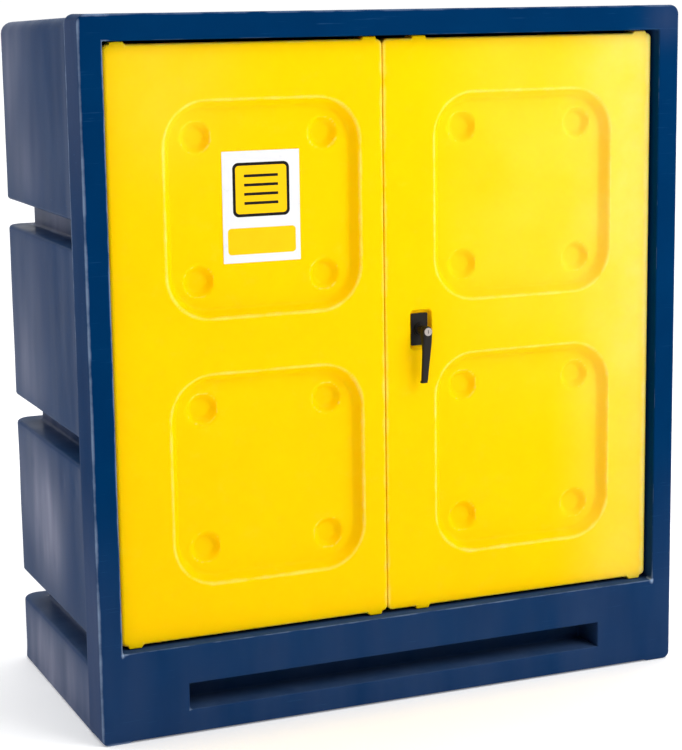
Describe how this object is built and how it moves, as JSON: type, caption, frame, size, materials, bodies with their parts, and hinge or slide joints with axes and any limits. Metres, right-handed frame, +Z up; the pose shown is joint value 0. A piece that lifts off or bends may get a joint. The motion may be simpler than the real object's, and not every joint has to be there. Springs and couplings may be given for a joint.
{
  "type": "chemical storage cabinet",
  "caption": "Moulded plastic floor cabinet with a sump base, hinged double doors with recessed panels, a lever lock with key cylinder, and lift-out shelves.",
  "frame": {"origin": "middle of the base, on the floor", "axes": "+X to the right as seen from the front, +Y to the back so that the doors face -Y, +Z up"},
  "size_m": [1.2, 0.6114, 1.311],
  "materials": {
    "navy_polyethylene": "rotomoulded, satin",
    "yellow_polyethylene": "rotomoulded, satin",
    "stainless_steel": "turned",
    "brass": "turned",
    "white_acetal": "moulded",
    "black_powder_coat": "fine texture powder coat on zinc die casting",
    "nickel_plate": "satin nickel",
    "zinc_plated_steel": "bright zinc plate",
    "cast_zinc": "as cast",
    "black_nylon": "moulded",
    "galvanised_steel": "spangled zinc coat",
    "white_vinyl": "smooth printed vinyl, blank"
  },
  "bodies": {
    "cabinet": {"cabinet_body": "navy_polyethylene", "left_top_pivot_bolt": "stainless_steel", "left_bottom_pivot_pin": "stainless_steel", "left_sill_insert": "brass", "left_thrust_washer": "stainless_steel", "right_top_pivot_bolt": "stainless_steel", "right_bottom_pivot_pin": "stainless_steel", "right_sill_insert": "brass", "right_thrust_washer": "stainless_steel", "upper_rod_keeper": "white_acetal", "lower_rod_keeper": "white_acetal", "upper_bolt_keeper": "white_acetal", "lower_bolt_keeper": "white_acetal"},
    "left_door": {"left_door": "yellow_polyethylene", "left_top_bush": "white_acetal", "left_bottom_bush": "white_acetal", "upper_bolt_guide": "white_acetal", "lower_bolt_guide": "white_acetal", "upper_bolt_plate": "zinc_plated_steel", "lower_bolt_plate": "zinc_plated_steel", "bolt_plate_screws": "zinc_plated_steel", "label_plate": "white_vinyl"},
    "right_door": {"right_door": "yellow_polyethylene", "right_top_bush": "white_acetal", "right_bottom_bush": "white_acetal", "upper_rod_guide": "white_acetal", "lower_rod_guide": "white_acetal", "lock_plate": "black_powder_coat", "lock_nut": "zinc_plated_steel", "latch_case": "cast_zinc", "bearing_plate": "zinc_plated_steel", "latch_cover": "zinc_plated_steel", "latch_cover_screws": "zinc_plated_steel"},
    "lever": {"lever_handle": "black_powder_coat", "drive_spindle": "zinc_plated_steel", "drive_pinion": "zinc_plated_steel"},
    "key_cylinder": {"key_cylinder": "nickel_plate"},
    "upper_latch": {"upper_latch_rod": "zinc_plated_steel"},
    "lower_latch": {"lower_latch_rod": "zinc_plated_steel"},
    "upper_bolt": {"upper_slide_bolt": "zinc_plated_steel", "upper_bolt_knob": "black_nylon"},
    "lower_bolt": {"lower_slide_bolt": "zinc_plated_steel", "lower_bolt_knob": "black_nylon"},
    "upper_shelf": {"upper_shelf": "galvanised_steel"},
    "lower_shelf": {"lower_shelf": "galvanised_steel"},
    "sump_grid": {"sump_grid": "galvanised_steel"}
  },
  "joints": [
    {"name": "left_door_hinge", "type": "hinge", "parent": "cabinet", "child": "left_door", "pos_m": [-0.5245, -0.2575, 0.7], "axis": [0, 0, -1], "range_deg": [0, 100]},
    {"name": "right_door_hinge", "type": "hinge", "parent": "cabinet", "child": "right_door", "pos_m": [0.5245, -0.2575, 0.7], "axis": [0, 0, 1], "range_deg": [0, 100]},
    {"name": "lever_turn", "type": "hinge", "parent": "right_door", "child": "lever", "pos_m": [0.054, -0.3, 0.716], "axis": [0, -1, 0], "range_deg": [0, 90]},
    {"name": "key_turn", "type": "hinge", "parent": "lever", "child": "key_cylinder", "pos_m": [0.054, -0.305, 0.716], "axis": [0, -1, 0], "range_deg": [0, 90]},
    {"name": "upper_latch_slide", "type": "slide", "parent": "right_door", "child": "upper_latch", "axis": [0, 0, 1], "range_m": [0, 0.0189]},
    {"name": "lower_latch_slide", "type": "slide", "parent": "right_door", "child": "lower_latch", "axis": [0, 0, -1], "range_m": [0, 0.0189]},
    {"name": "upper_bolt_slide", "type": "slide", "parent": "left_door", "child": "upper_bolt", "axis": [0, 0, 1], "range_m": [0, 0.016]},
    {"name": "lower_bolt_slide", "type": "slide", "parent": "left_door", "child": "lower_bolt", "axis": [0, 0, -1], "range_m": [0, 0.016]},
    {"name": "upper_shelf_lift", "type": "slide", "parent": "cabinet", "child": "upper_shelf", "axis": [0, 0, 1], "range_m": [0, 0.04]},
    {"name": "lower_shelf_lift", "type": "slide", "parent": "cabinet", "child": "lower_shelf", "axis": [0, 0, 1], "range_m": [0, 0.04]},
    {"name": "sump_grid_lift", "type": "slide", "parent": "cabinet", "child": "sump_grid", "axis": [0, 0, 1], "range_m": [0, 0.04]}
  ],
  "couplings": [
    {"joint": "upper_latch_slide", "follows": "lever_turn", "m_per_rad": 0.012},
    {"joint": "lower_latch_slide", "follows": "lever_turn", "m_per_rad": 0.012}
  ]
}
